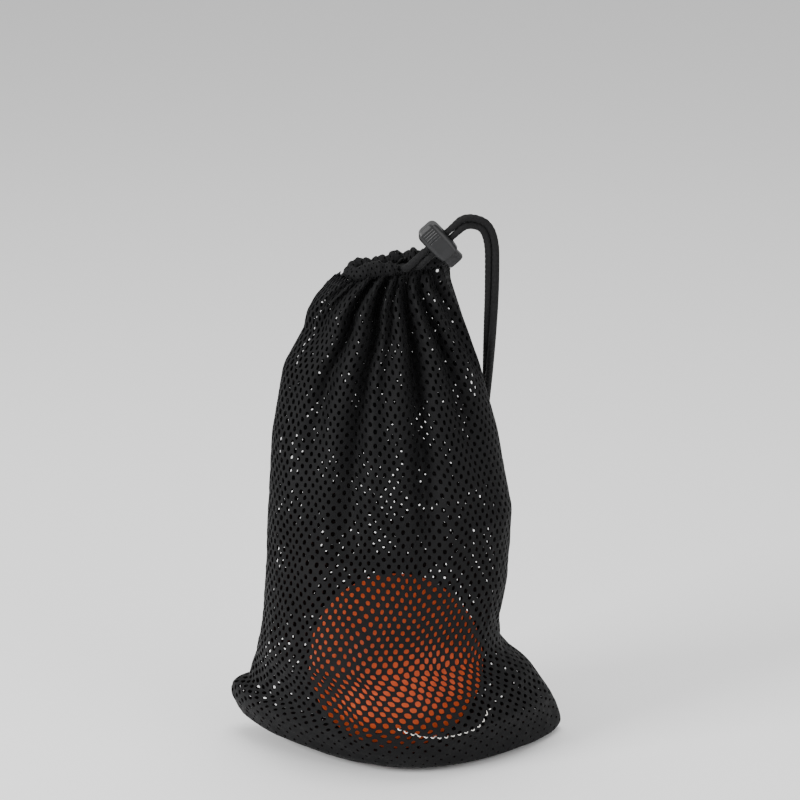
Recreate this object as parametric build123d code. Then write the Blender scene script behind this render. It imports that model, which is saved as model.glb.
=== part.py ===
"""Mesh drawstring ball bag, standing, mouth drawn shut, with a spring cord lock and one ball inside.

Frame: millimetres, +Z up, front faces -Y, origin under the ball at the middle of the bag's base.
Soft pieces are plain closed solids: two mesh panels with a wall of CLOTH, seams, a hem casing round the mouth.
The cord lock is a real mechanism: barrel, sliding plunger and compression spring.
"""

import math
import os

from build123d import *

# ---------------------------------------------------------------- overall sizes
BAG_WIDTH = 166.0  # corner to corner across the base
MOUTH_HEIGHT = 247.3  # centre of the hem casing above the floor
CLOTH = 1.2  # wall of the soft mesh solids

# ---------------------------------------------------------------- ball
BALL_DIAMETER = 86.0
BALL_WALL = 3.5
BALL_SLACK = 0.6  # least gap between ball and mesh as the ball turns
SEAM_THICK = 1.8  # sewn allowance, inside the bag
SEAM_WIDE = 5.0
THREAD = 0.9  # pale thread in the front mesh
THREAD_ARC = ((0.02, 0.70), (0.27, 0.585), (0.50, 0.54), (0.78, 0.555), (0.94, 0.65), (1.02, 0.75))  # in ball radii

# ---------------------------------------------------------------- drawstring
CORD = 3.2  # diameter of the braided cord
CORD_CLEARANCE = 0.15  # round a strand inside the lock
STRAND_GAP = 0.1  # between the two strands in the lock
CHANNEL_CLEARANCE = 0.7  # round the cord inside the hem casing

# ---------------------------------------------------------------- hem casing round the mouth
CASING_TILT = 10.0  # degrees, the mouth rises towards +X
CASING_WALL = 1.1
MOUTH_HALF_RUN = 15.0  # half of each straight side of the drawn mouth
MOUTH_END_RADIUS = 7.2  # the two round ends of the drawn mouth
SLIT_CENTRE = 7.4  # along the front run, where both strands come out
SLIT_HALF = 7.2
EXIT_PITCH = 5.6  # between the two strands where they leave the casing
EXIT_RUN = 4.65  # from a strand's end inside the casing to its bend

# ---------------------------------------------------------------- cord lock
LOCK_ACROSS = 20.5  # middle of the cord hole, to the right of the bag's middle
LOCK_ABOVE_MOUTH = 14.4
LOCK_CLEARANCE = 1.7  # between the casing and the barrel
LOCK_LEAN = 47.3  # degrees, closed end leans to -X from straight up, less 4.6
BARREL_WIDE = 11.2
BARREL_THICK = 9.0
BARREL_END_SHARE = 0.86  # width of the ends as a share of the middle
BARREL_WALL = 1.5
END_WALL = 1.4
PRESS_TRAVEL = 2.4
PLUNGER_CLEARANCE = 0.2
BRIDGE = 1.6  # plunger above its cord hole
LOWER_BRIDGE = 1.3
SPRING_SOLID = 1.8  # room left for the closed spring
BUTTON_STANDS_OUT = 5.0
SPRING_WIRE = 0.5
SPRING_TURNS = 3.5
GRIP_RIBS = 5
RIB_PITCH = 1.25
RIB_GROOVE = 0.55
RIB_DEEP = 0.35
LUG_OUT = 0.45
LUG_TALL = 1.5
LUG_WIDE = 2.4

# ---------------------------------------------------------------- knot on the cord ends
KNOT_WIDE = 11.0
KNOT_TALL = 13.0
KNOT_BEHIND = 33.2
KNOT_AT = 0.598  # height of the knot as a share of the mouth's height
TAIL_ACROSS = 0.27  # how far right the tail hangs, as a share of the bag's width
BALL_SPARE = 1.3  # more depth round the ball, for the flat runs between levels

# ---------------------------------------------------------------- worked out
BALL_R = BALL_DIAMETER / 2
SEAM_PROUD = SEAM_THICK / 2
BALL_Z = CLOTH + SEAM_PROUD + BALL_SLACK + BALL_R  # centre of the ball at rest
CHANNEL_R = CORD / 2 + CHANNEL_CLEARANCE
CASING_R = CHANNEL_R + CASING_WALL
STRAND_PITCH = CORD + STRAND_GAP
HALF_APERTURE = STRAND_PITCH / 2 + CORD / 2 + CORD_CLEARANCE
SLOT_WIDE = CORD + 2 * CORD_CLEARANCE + 0.2
LOCK_TILT = math.radians(90 - LOCK_LEAN)
CORD_DIRECTION = Vector(math.cos(LOCK_TILT), 0, math.sin(LOCK_TILT))
LOCK_UP = Vector(-math.sin(LOCK_TILT), 0, math.cos(LOCK_TILT))
LOCK_FORWARD = MOUTH_END_RADIUS + CASING_R + LOCK_CLEARANCE + BARREL_THICK / 2
LOCK_CENTRE = (LOCK_ACROSS, -LOCK_FORWARD, MOUTH_HEIGHT + LOCK_ABOVE_MOUTH)
KNOT_Z = KNOT_AT * MOUTH_HEIGHT
LOCK_PLANE = Plane(origin=LOCK_CENTRE, x_dir=CORD_DIRECTION, z_dir=LOCK_UP)
PLUNGER_TOP = HALF_APERTURE + BRIDGE
CHAMBER_TOP = PLUNGER_TOP + PRESS_TRAVEL + SPRING_SOLID
BARREL_TOP = CHAMBER_TOP + END_WALL
PLUNGER_HOLE_LOW = -HALF_APERTURE - PRESS_TRAVEL
BARREL_LOW = PLUNGER_HOLE_LOW - LOWER_BRIDGE
BUTTON_LOW = BARREL_LOW - BUTTON_STANDS_OUT
CAVITY_WIDE = BARREL_WIDE - 2 * BARREL_WALL
CAVITY_THICK = BARREL_THICK - 2 * BARREL_WALL + 0.2

CASING_SLOPE = math.radians(CASING_TILT)
CASING_PLANE = Plane(
    origin=(0, 0, MOUTH_HEIGHT),
    x_dir=(math.cos(CASING_SLOPE), 0, math.sin(CASING_SLOPE)),
    z_dir=(-math.sin(CASING_SLOPE), 0, math.cos(CASING_SLOPE)),
)


# ---------------------------------------------------------------- bag sections
class Section:
    """One level of the bag: a rounded outline from a left to a right seam, with its corners swept back."""

    def __init__(self, height, left, right, depth, power, bow, slope=0.0):
        self.height, self.power, self.bow, self.slope = height, power, bow, slope
        self.left = min(left, -reach(height) - CLOTH)
        self.right = max(right, reach(height) + CLOTH)
        self.front = max(depth, self.depth_round_ball(+1))
        self.back = max(depth, self.depth_round_ball(-1))

    def profile(self, x, inset=0.0):
        """Share of the full depth that the outline has at x."""
        half = (self.right - self.left) / 2 - inset
        middle = (self.right + self.left) / 2
        share = min(abs(x - middle) / half, 1.0)
        return (1 - share**self.power) ** (1 / self.power)

    def shift(self, x):
        """How far back the outline's middle line lies at x."""
        middle = (self.right + self.left) / 2
        half = (self.right - self.left) / 2
        return self.bow * (min(abs(x - middle) / half, 1.0)) ** 2

    def depth_round_ball(self, side):
        """The least depth that holds the ball's round at this height, on the front (+1) or back (-1)."""
        radius, need = reach(self.height), 0.0
        for step in range(-9, 10):
            x = radius * step / 10
            ball_y = math.sqrt(radius**2 - x**2) + side * self.shift(x)
            need = max(need, ball_y / max(self.profile(x, CLOTH), 0.05) + CLOTH + BALL_SPARE)
        return need if radius > 0 else 0.0

    def half_outline(self, side, inset, count=9):
        """Points of the front (-1) or back (+1) half, from the left seam to the right seam."""
        depth = (self.front if side < 0 else self.back) - inset
        half = (self.right - self.left) / 2 - inset
        middle = (self.right + self.left) / 2
        points = []
        for step in range(count):
            angle = math.pi * (1 - step / (count - 1))
            across = abs(math.cos(angle)) ** (2 / self.power)
            deep = abs(math.sin(angle)) ** (2 / self.power) if 0 < step < count - 1 else 0.0
            x = middle + math.copysign(half * across, math.cos(angle))
            y = self.shift(x) + side * depth * deep
            points.append(Vector(x, y, self.height + self.slope * x))
        return points

    def wall(self, side):
        """The panel's wall at this level, as a C-shaped face."""
        outer = self.half_outline(side, 0.0)
        inner = self.half_outline(side, CLOTH)
        edges = [
            Spline(*outer),
            Line(outer[-1], inner[-1]),
            Spline(*reversed(inner)),
            Line(inner[0], outer[0]),
        ]
        return Face(Wire(edges))

    def floor(self, side):
        """The panel's share of the bag's base, as a face out to the outline."""
        outer = self.half_outline(side, 0.0)
        middle_line = [
            Vector(x, self.shift(x), self.height)
            for x in (outer[-1].X, outer[-1].X * 0.5, 0.0, outer[0].X * 0.5, outer[0].X)
        ]
        return Face(Wire([Spline(*outer), Spline(*middle_line)]))


def reach(height):
    """Radius that the ball needs at this height."""
    away = abs(height - BALL_Z)
    radius = BALL_R + BALL_SLACK
    return math.sqrt(radius**2 - away**2) if away < radius else 0.0


MOUTH_REACH = MOUTH_HALF_RUN + MOUTH_END_RADIUS + CLOTH / 2
MOUTH_SLOPE = math.tan(CASING_SLOPE)
W, H, R = BAG_WIDTH, MOUTH_HEIGHT, BALL_R
SECTIONS = [
    Section(CLOTH, -0.27 * W, 0.30 * W, 19, 1.9, 10),
    Section(0.16 * R, -0.44 * W, 0.48 * W, 28, 1.6, 20),
    Section(0.36 * R, -0.50 * W, 0.50 * W, 37, 1.6, 24),
    Section(0.66 * R, -0.47 * W, 0.455 * W, 43, 1.7, 19),
    Section(1.05 * R, -0.42 * W, 0.385 * W, 46, 1.9, 9),
    Section(1.50 * R, -0.40 * W, 0.31 * W, 46, 2.0, 2),
    Section(0.37 * H, -0.385 * W, 0.33 * W, 45, 2.0, 0),
    Section(0.51 * H, -0.375 * W, 0.34 * W, 42, 2.0, 0),
    Section(0.67 * H, -0.36 * W, 0.295 * W, 34, 2.0, 0),
    Section(0.80 * H, -0.325 * W, 0.24 * W, 26, 2.0, 0),
    Section(0.885 * H, -0.25 * W, 0.19 * W, 18, 2.0, 0, 0.05),
    Section(H - CASING_R + 0.3, -MOUTH_REACH, MOUTH_REACH, MOUTH_END_RADIUS + CLOTH / 2, 3.0, 0, MOUTH_SLOPE),
]


def panel(side):
    """Front (-1) or back (+1) mesh panel: its wall up to the casing and its half of the base."""
    wall = loft([section.wall(side) for section in SECTIONS], ruled=True)
    base = extrude(SECTIONS[0].floor(side), amount=CLOTH, dir=(0, 0, -1))
    return wall + base


def side_seam(left):
    """Sewn allowance inside a side seam, a flat strip that follows the seam from base to casing."""
    faces = []
    for section in SECTIONS[1:-1]:
        x = section.left if left else section.right
        inward = 1 if left else -1
        corners = [
            (x + inward * CLOTH / 2, -SEAM_PROUD),
            (x + inward * (CLOTH + SEAM_WIDE), -SEAM_PROUD),
            (x + inward * (CLOTH + SEAM_WIDE), SEAM_PROUD),
            (x + inward * CLOTH / 2, SEAM_PROUD),
        ]
        points = [Vector(cx, section.shift(x) + cy, section.height + section.slope * cx) for cx, cy in corners]
        faces.append(Face(Wire.make_polygon(points, close=True)))
    return loft(faces, ruled=True)


def bottom_seam():
    """Sewn allowance along the base, lying on the cloth, from corner to corner."""
    section = SECTIONS[0]
    ends = (section.left + 2 * CLOTH, section.right - 2 * CLOTH)
    xs = [ends[0] + (ends[1] - ends[0]) * step / 6 for step in range(7)]
    line = [Vector(x, section.shift(x), CLOTH + SEAM_PROUD / 2 - 0.2) for x in xs]
    path = Spline(*line)
    profile = Plane(origin=path @ 0, z_dir=path % 0, x_dir=(0, 0, 1)) * Rectangle(SEAM_PROUD, SEAM_WIDE)
    return sweep(profile, path=path)


# ---------------------------------------------------------------- hem casing and the cord in it
def mouth_half(side):
    """Centre line of the front (-1) or back (+1) half of the drawn mouth, from -X to +X, in the casing's plane."""
    run, r = MOUTH_HALF_RUN, MOUTH_END_RADIUS
    left = CenterArc((-run, 0), r, 180, side * -90)
    straight = Line((-run, side * r), (run, side * r))
    right = CenterArc((run, 0), r, side * 90, side * -90)
    return Wire([CASING_PLANE * edge for edge in (left, straight, right)])


def tube(path, radius, bore=0.0):
    """A round tube along a path, hollow if it has a bore."""
    start = Plane(origin=path @ 0, z_dir=path % 0)
    ring = Circle(radius) - Circle(bore) if bore else Circle(radius)
    return sweep(start * ring, path=path)


def casing(side):
    """Half of the hem channel; the front half has the slit that both strands come out of."""
    body = tube(mouth_half(side), CASING_R, CHANNEL_R)
    if side < 0:
        slit = Pos(SLIT_CENTRE, -MOUTH_END_RADIUS - CASING_R, 0) * Box(
            2 * SLIT_HALF, 2 * CASING_R, 3 * CASING_R
        )
        body -= CASING_PLANE * slit
    return body


def drawstring_ring():
    """The cord inside the channel, all round the mouth, with its ends at the two sides of the slit."""
    run, r = MOUTH_HALF_RUN, MOUTH_END_RADIUS
    edges = [
        Line((SLIT_CENTRE + EXIT_PITCH / 2 + EXIT_RUN, -r), (run, -r)),
        CenterArc((run, 0), r, -90, 180),
        Line((run, r), (-run, r)),
        CenterArc((-run, 0), r, 90, 180),
        Line((-run, -r), (SLIT_CENTRE - EXIT_PITCH / 2 - EXIT_RUN, -r)),
    ]
    return tube(Wire([CASING_PLANE * edge for edge in edges]), CORD / 2)


def at_casing(x, y, z=0.0):
    """A point given in the casing's plane."""
    return CASING_PLANE.from_local_coords(Vector(x, y, z))


def at_lock(along, up, deep=0.0):
    """A point given along the cord hole, up the barrel and across it."""
    return LOCK_PLANE.from_local_coords(Vector(along, deep, up))


def strand_route(side):
    """Route points of one strand, from its end in the casing to the knot: +1 outer strand, -1 inner strand."""
    half = STRAND_PITCH / 2
    apart = side * STRAND_PITCH
    right, top = TAIL_ACROSS * BAG_WIDTH, MOUTH_HEIGHT
    slot_x = SLIT_CENTRE - side * EXIT_PITCH / 2
    return [
        at_casing(slot_x - side * EXIT_RUN, -MOUTH_END_RADIUS),
        at_casing(slot_x, -MOUTH_END_RADIUS),
        at_casing(slot_x, -MOUTH_END_RADIUS - 6.4),
        at_lock(-9.6, side * half),
        at_lock(17.4 + side * 1.2, side * half),
        Vector(right + 0.2 + side * half, 3.4 - LOCK_FORWARD, top + 20.9 + 0.3 * apart),
        Vector(right + 0.6 + side * half, 5.3 - LOCK_FORWARD - 0.22 * apart, top - 7.3),
        Vector(right + 0.40 * apart, -1.0 - 0.55 * apart, 0.861 * top),
        Vector(right - 0.4 + 0.19 * apart, 15.6 - 0.67 * apart, 0.760 * top),
        Vector(right - 1.2, 28.6 - 0.64 * apart, 0.671 * top),
        Vector(right - 2.0, KNOT_BEHIND - 0.58 * apart, KNOT_Z + KNOT_TALL / 2 - 1.5),
    ]


def strand(side):
    """One strand of the tail: straight runs joined by tangent arcs."""
    points = strand_route(side)
    radii = []
    for before, here, after in zip(points, points[1:], points[2:]):
        arriving, leaving = here - before, after - here
        turn = math.radians(arriving.get_angle(leaving))
        shorter = min(arriving.length, leaving.length)
        radii.append(min(0.45 * shorter / math.tan(turn / 2), 60.0))
    route = FilletPolyline(*points, radius=radii)
    print("strand", side, "length", round(route.length, 1), "radii", [round(r, 1) for r in radii])
    return tube(route, CORD / 2)


def knot():
    """Overhand knot that holds both ends, as the wrapped lump it forms, with two short cut ends."""
    core = Plane.XZ * (Ellipse(KNOT_WIDE / 2 - 0.6, KNOT_TALL / 2) & Pos(KNOT_WIDE, 0) * Rectangle(2 * KNOT_WIDE, 99))
    lump = revolve(core, Axis.Z)
    for height, lean in ((0.16, 24), (-0.16, -24)):
        wrap = Torus(KNOT_WIDE / 2 - CORD / 2 + 0.35, CORD / 2)
        lump += Pos(0, 0, height * KNOT_TALL) * Rot(lean, 0, 0) * wrap
    for across in (-1, 1):
        cut_end = Cylinder(CORD / 2, 9.0, align=(Align.CENTER, Align.CENTER, Align.MAX))
        lump += Pos(across * 1.9, 0, -KNOT_TALL / 2 + 2.4) * Rot(0, -across * 9, 0) * cut_end
    return Pos(TAIL_ACROSS * BAG_WIDTH - 2.0, KNOT_BEHIND, KNOT_Z) * lump


# ---------------------------------------------------------------- cord lock, upright in its own frame
def rounded_block(wide, thick, low, high, corner):
    """A block with round upright corners."""
    return Pos(0, 0, low) * extrude(RectangleRounded(wide, thick, corner), amount=high - low)


def barrel_shell():
    """Outer form of the barrel: fullest at the cord hole, slimmer at both ends."""
    levels = (
        (BARREL_LOW, BARREL_END_SHARE),
        (-HALF_APERTURE, 0.97),
        (HALF_APERTURE, 1.0),
        (BARREL_TOP - 1.6, 0.98),
        (BARREL_TOP, 0.80),
    )
    faces = [
        Pos(0, 0, z) * RectangleRounded(BARREL_WIDE * share, BARREL_THICK * share, 2.6 * share)
        for z, share in levels
    ]
    return loft(faces, ruled=True)


def barrel():
    """Fixed part of the lock: closed at the top, open below, with the cord hole through its sides."""
    cavity = rounded_block(CAVITY_WIDE, CAVITY_THICK, BARREL_LOW - 1, CHAMBER_TOP, 1.0)
    hole_high = HALF_APERTURE + PRESS_TRAVEL / 4
    hole = rounded_block(2 * BARREL_WIDE, SLOT_WIDE, -HALF_APERTURE, hole_high, 0.6)
    lug_low, lug_high = PLUNGER_TOP - LUG_TALL, PLUNGER_TOP + PRESS_TRAVEL
    track_thick = CAVITY_THICK + 2 * LUG_OUT + 2 * PLUNGER_CLEARANCE
    track = rounded_block(
        LUG_WIDE + 2 * PLUNGER_CLEARANCE, track_thick, lug_low - PLUNGER_CLEARANCE, lug_high + 0.3, 0.2
    )
    body = barrel_shell() - cavity - hole - track
    for step in range(GRIP_RIBS):
        height = BARREL_TOP - 2.4 - step * RIB_PITCH
        for side in (-1, 1):
            groove = Pos(0, side * BARREL_THICK / 2, height) * Box(
                BARREL_WIDE * 0.56, 2 * RIB_DEEP, RIB_GROOVE
            )
            body -= groove
    return body


def plunger():
    """Sliding part: the button end stands out below, the cord hole runs through, lugs ride in the barrel."""
    wide, thick = CAVITY_WIDE - 2 * PLUNGER_CLEARANCE, CAVITY_THICK - 2 * PLUNGER_CLEARANCE
    dome = Pos(0, 0, BUTTON_LOW) * scale(Sphere(1), by=(wide * 0.62, thick * 0.74, 3.4))
    straight = rounded_block(wide, thick, BUTTON_LOW + 0.4, PLUNGER_TOP, 0.9)
    tip = rounded_block(wide, thick, BUTTON_LOW - 2.0, BUTTON_LOW + 0.4, 0.9) & dome
    body = straight + tip
    hole = rounded_block(2 * BARREL_WIDE, SLOT_WIDE, PLUNGER_HOLE_LOW, HALF_APERTURE, 0.6)
    lug = rounded_block(LUG_WIDE, CAVITY_THICK + 2 * LUG_OUT, PLUNGER_TOP - LUG_TALL, PLUNGER_TOP, 0.2)
    return body + lug - hole


def spring():
    """Compression spring between plunger and closed end, with its wire on a helix."""
    low, high = PLUNGER_TOP + SPRING_WIRE / 2 + 0.02, CHAMBER_TOP - SPRING_WIRE / 2 - 0.02
    radius = CAVITY_THICK / 2 - SPRING_WIRE
    helix = Pos(0, 0, low) * Helix(pitch=(high - low) / SPRING_TURNS, height=high - low, radius=radius)
    start = Plane(origin=helix @ 0, z_dir=helix % 0)
    return sweep(start * Circle(SPRING_WIRE / 2), path=helix, is_frenet=True)


# ---------------------------------------------------------------- ball
def ball():
    """Hollow moulded ball."""
    return Pos(0, 0, BALL_Z) * (Sphere(BALL_R) - Sphere(BALL_R - BALL_WALL))


# ---------------------------------------------------------------- stitches
def stitch_row(side, drop):
    """A row of short stitches along the hem below the casing, as one group."""
    run = MOUTH_HALF_RUN - 1.0
    count = 9
    row = []
    for step in range(count):
        x = -run + 2 * run * (step + 0.5) / count
        if side < 0 and abs(x - SLIT_CENTRE) < SLIT_HALF + 1.5:
            continue
        place = at_casing(x, side * (MOUTH_END_RADIUS + CASING_R - 0.9), drop)
        row.append(Pos(*place) * Rot(0, -CASING_TILT, 0) * Box(2.2, 1.2, 0.6))
    return Compound(children=row)


def front_face(x, height):
    """Depth position of the front panel's outside at x and a height."""
    for low, high in zip(SECTIONS, SECTIONS[1:]):
        if low.height <= height <= high.height:
            share = (height - low.height) / (high.height - low.height)
            at_low = low.shift(x) - low.front * low.profile(x)
            at_high = high.shift(x) - high.front * high.profile(x)
            return at_low + share * (at_high - at_low)
    raise ValueError("height is outside the bag")


def pale_thread():
    """The light thread that runs in an arc through the front mesh below the ball's middle."""
    places = [(x * BALL_R, z * BALL_R) for x, z in THREAD_ARC]
    points = [Vector(x, front_face(x, z) - THREAD / 4, z) for x, z in places]
    return tube(Spline(*points), THREAD / 2)


def write(name, shape):
    """Save one node."""
    export_step(shape, f"parts/{name}.step")
    print(name, "volume", round(shape.volume, 1))


if __name__ == "__main__":
    os.makedirs("parts", exist_ok=True)
    write("front_panel", panel(-1))
    write("back_panel", panel(+1))
    write("left_side_seam", side_seam(True))
    write("right_side_seam", side_seam(False))
    write("bottom_seam", bottom_seam())
    write("hem_casing_front", casing(-1))
    write("hem_casing_back", casing(+1))
    write("hem_stitches_front", stitch_row(-1, -1.6))
    write("hem_stitches_back", stitch_row(+1, -1.6))
    write("drawstring_loop", drawstring_ring())
    write("tail_strand_outer", strand(+1))
    write("tail_strand_inner", strand(-1))
    write("tail_knot", knot())
    write("lock_barrel", LOCK_PLANE * barrel())
    write("lock_plunger", LOCK_PLANE * plunger())
    write("lock_spring", LOCK_PLANE * spring())
    write("ball", ball())
    write("pale_thread", pale_thread())
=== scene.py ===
import logging
import math
from dataclasses import dataclass, field
from typing import Any, Callable, Sequence

import bpy
import numpy as np
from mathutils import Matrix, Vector


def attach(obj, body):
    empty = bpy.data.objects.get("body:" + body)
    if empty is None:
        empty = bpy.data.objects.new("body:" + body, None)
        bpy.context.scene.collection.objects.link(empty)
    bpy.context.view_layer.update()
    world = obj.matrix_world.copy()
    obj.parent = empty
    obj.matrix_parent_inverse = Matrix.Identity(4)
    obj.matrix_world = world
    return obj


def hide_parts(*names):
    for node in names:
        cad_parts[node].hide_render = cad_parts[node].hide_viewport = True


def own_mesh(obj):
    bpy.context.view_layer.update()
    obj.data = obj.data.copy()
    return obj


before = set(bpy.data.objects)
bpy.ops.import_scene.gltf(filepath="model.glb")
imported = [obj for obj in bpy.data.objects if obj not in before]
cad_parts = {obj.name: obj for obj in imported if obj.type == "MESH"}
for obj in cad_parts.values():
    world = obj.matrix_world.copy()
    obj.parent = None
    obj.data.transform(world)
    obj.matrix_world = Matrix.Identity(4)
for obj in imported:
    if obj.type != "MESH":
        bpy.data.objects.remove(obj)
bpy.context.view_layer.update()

MM = 0.001
log = logging.getLogger("ball_bag")

Point = tuple[float, float, float]
Colour = tuple[float, float, float, float]


# ------------------------------------------------------------------ shader building
class Wire:
    """A shader socket that can be used in sums, so masks are written as plain expressions."""

    def __init__(self, paint: "Paint", socket: bpy.types.NodeSocket) -> None:
        """Keep the material being built and the socket that carries the value."""
        self.paint, self.socket = paint, socket

    def _maths(self, operation: str, first: Any, second: Any = 0.0) -> "Wire":
        """Add one Math node and return its result."""
        return self.paint.node("ShaderNodeMath", {"operation": operation}, {0: first, 1: second})

    def __add__(self, other: Any) -> "Wire":
        """Sum."""
        return self._maths("ADD", self, other)

    __radd__ = __add__

    def __mul__(self, other: Any) -> "Wire":
        """Product."""
        return self._maths("MULTIPLY", self, other)

    __rmul__ = __mul__

    def __sub__(self, other: Any) -> "Wire":
        """Difference."""
        return self._maths("SUBTRACT", self, other)

    def __rsub__(self, other: Any) -> "Wire":
        """Difference with this wire taken away."""
        return self._maths("SUBTRACT", other, self)

    def wave(self) -> "Wire":
        """Sine of the value, moved to run from 0 to 1."""
        return self._maths("SINE", self) * 0.5 + 0.5


class Paint:
    """One material under construction."""

    def __init__(self, name: str) -> None:
        """Start an empty material with its shader and output.

        Args:
            name: The material's name.
        """
        self.material = bpy.data.materials.new(name)
        self.material.use_nodes = True
        self.tree = self.material.node_tree
        self.tree.nodes.clear()
        self.shader = self.tree.nodes.new("ShaderNodeBsdfPrincipled")
        output = self.tree.nodes.new("ShaderNodeOutputMaterial")
        self.tree.links.new(self.shader.outputs["BSDF"], output.inputs["Surface"])

    def feed(self, socket: bpy.types.NodeSocket, value: Any) -> None:
        """Set a socket to a constant, or link it to a wire."""
        if isinstance(value, Wire):
            self.tree.links.new(value.socket, socket)
        else:
            socket.default_value = value

    def node(self, kind: str, settings: dict | None = None, inputs: dict | None = None, out: Any = 0) -> Wire:
        """Add one node.

        Args:
            kind: The node's type name.
            settings: Attributes that are set before its sockets.
            inputs: Values or wires by socket name or number.
            out: The output to return.

        Returns:
            The chosen output as a wire.
        """
        made = self.tree.nodes.new(kind)
        for key, value in (settings or {}).items():
            setattr(made, key, value)
        for key, value in (inputs or {}).items():
            self.feed(made.inputs[key], value)
        return Wire(self, made.outputs[out])

    def place(self, source: str = "Object", scale: Sequence[float] = (1, 1, 1)) -> Wire:
        """Coordinates of the piece, or its own UV map, scaled by a Mapping node."""
        where = self.node("ShaderNodeTexCoord", out=source)
        return self.node("ShaderNodeMapping", {}, {"Vector": where, "Scale": tuple(scale)})

    def noise(self, where: Wire, scale: float, detail: float = 3.0, rough: float = 0.55) -> Wire:
        """Fractal noise from 0 to 1."""
        inputs = {"Vector": where, "Scale": scale, "Detail": detail, "Roughness": rough}
        return self.node("ShaderNodeTexNoise", {}, inputs)

    def pebbles(self, where: Wire, scale: float, smoothness: float) -> Wire:
        """Distance from the middles of rounded cells, for dimples and pebbled grain."""
        inputs = {"Vector": where, "Scale": scale, "Smoothness": smoothness}
        return self.node("ShaderNodeTexVoronoi", {"feature": "SMOOTH_F1"}, inputs)

    def part(self, vector: Wire, axis: str) -> Wire:
        """One component of a vector."""
        return self.node("ShaderNodeSeparateXYZ", {}, {0: vector}, axis)

    def mix(self, share: Any, first: Any, second: Any) -> Wire:
        """Blend of two colours by share."""
        return self.node("ShaderNodeMix", {"data_type": "RGBA"}, {0: share, 6: first, 7: second}, 2)

    def spread(self, value: Wire, low: float, high: float, to_low: float, to_high: float) -> Wire:
        """Value moved from one range to another, clamped."""
        return self.node("ShaderNodeMapRange", {}, {0: value, 1: low, 2: high, 3: to_low, 4: to_high})

    def bump(self, height: Wire, distance: float, strength: float = 1.0) -> Wire:
        """Surface normal with a height added."""
        return self.node("ShaderNodeBump", {}, {"Height": height, "Distance": distance, "Strength": strength})

    def finish(self, **sockets: Any) -> bpy.types.Material:
        """Feed the shader's sockets and return the material. Names use underscores for spaces."""
        for key, value in sockets.items():
            self.feed(self.shader.inputs[key.replace("_", " ")], value)
        return self.material


# ------------------------------------------------------------------ finishes
@dataclass(frozen=True)
class KnitFinish:
    """Black knitted polyester: fine loops along the strips of the net, slight sheen, uneven dye."""

    name: str
    dark: Colour = (0.003, 0.003, 0.0032, 1)
    light: Colour = (0.013, 0.013, 0.0136, 1)
    loop: float = 0.42 * MM
    bump_mm: float = 0.06

    def make(self) -> bpy.types.Material:
        """Build the material."""
        paint = Paint(self.name)
        flat = paint.place("UV")
        across, along = paint.part(flat, "X"), paint.part(flat, "Y")
        turn = 2 * math.pi / self.loop
        loops = (across * turn + (along * turn * 0.5).wave() * 1.2).wave() * (along * turn).wave()
        solid = paint.place("Object")
        cloudy = paint.noise(solid, 38.0, 3.0)
        fuzz = paint.noise(solid, 2600.0, 2.0)
        share = paint.spread(loops * 0.55 + cloudy * 0.5 + fuzz * 0.35, 0.25, 1.0, 0.0, 1.0)
        return paint.finish(
            Base_Color=paint.mix(share, self.dark, self.light),
            Roughness=paint.spread(fuzz, 0.2, 0.8, 0.50, 0.72),
            Normal=paint.bump(loops + fuzz * 0.5, self.bump_mm * MM, 0.7),
            Sheen_Weight=0.01,
            Sheen_Roughness=0.4,
            Specular_IOR_Level=0.07,
        )


@dataclass(frozen=True)
class BraidFinish:
    """Black braided cord: slanting yarn lines of two directions over the modelled strands."""

    name: str
    dark: Colour = (0.003, 0.003, 0.0032, 1)
    light: Colour = (0.013, 0.013, 0.0136, 1)

    def make(self) -> bpy.types.Material:
        """Build the material."""
        paint = Paint(self.name)
        flat = paint.place("UV")
        round_it, along = paint.part(flat, "X"), paint.part(flat, "Y")
        yarn = (round_it * (2 * math.pi * 40) + along * 9000.0).wave()
        fuzz = paint.noise(paint.place("Object"), 3200.0, 2.0)
        heather = paint.noise(paint.place("Object"), 700.0, 2.0)
        share = paint.spread(yarn * 0.45 + fuzz * 0.55 + heather * 0.5, 0.3, 1.25, 0.0, 1.0)
        return paint.finish(
            Base_Color=paint.mix(share, self.dark, self.light),
            Roughness=paint.spread(fuzz, 0.2, 0.8, 0.55, 0.8),
            Normal=paint.bump(yarn + fuzz, 0.04 * MM, 0.6),
            Sheen_Weight=0.02,
            Sheen_Roughness=0.4,
            Specular_IOR_Level=0.12,
        )


@dataclass(frozen=True)
class PlasticFinish:
    """Black moulded plastic with a fine spark-eroded texture, rubbed brighter in random patches."""

    name: str
    base: Colour = (0.0046, 0.0047, 0.0052, 1)
    worn: Colour = (0.012, 0.0124, 0.0136, 1)
    rough_low: float = 0.34
    rough_high: float = 0.50
    dimples: float = 0.0  # mm, depth of a grip texture

    def make(self) -> bpy.types.Material:
        """Build the material."""
        paint = Paint(self.name)
        solid = paint.place("Object")
        grain = paint.noise(solid, 2400.0, 4.0, 0.6)
        patches = paint.noise(solid, 120.0, 3.0)
        share = paint.spread(patches * 0.8 + grain * 0.3, 0.4, 0.85, 0.0, 1.0)
        cells = paint.pebbles(solid, 620.0, 0.3)
        height = grain * 0.03 + cells * self.dimples
        return paint.finish(
            Base_Color=paint.mix(share, self.base, self.worn),
            Roughness=paint.spread(patches + grain * 0.4, 0.4, 1.0, self.rough_low, self.rough_high),
            Normal=paint.bump(height, MM, 0.6),
            Specular_IOR_Level=0.38,
        )


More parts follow.
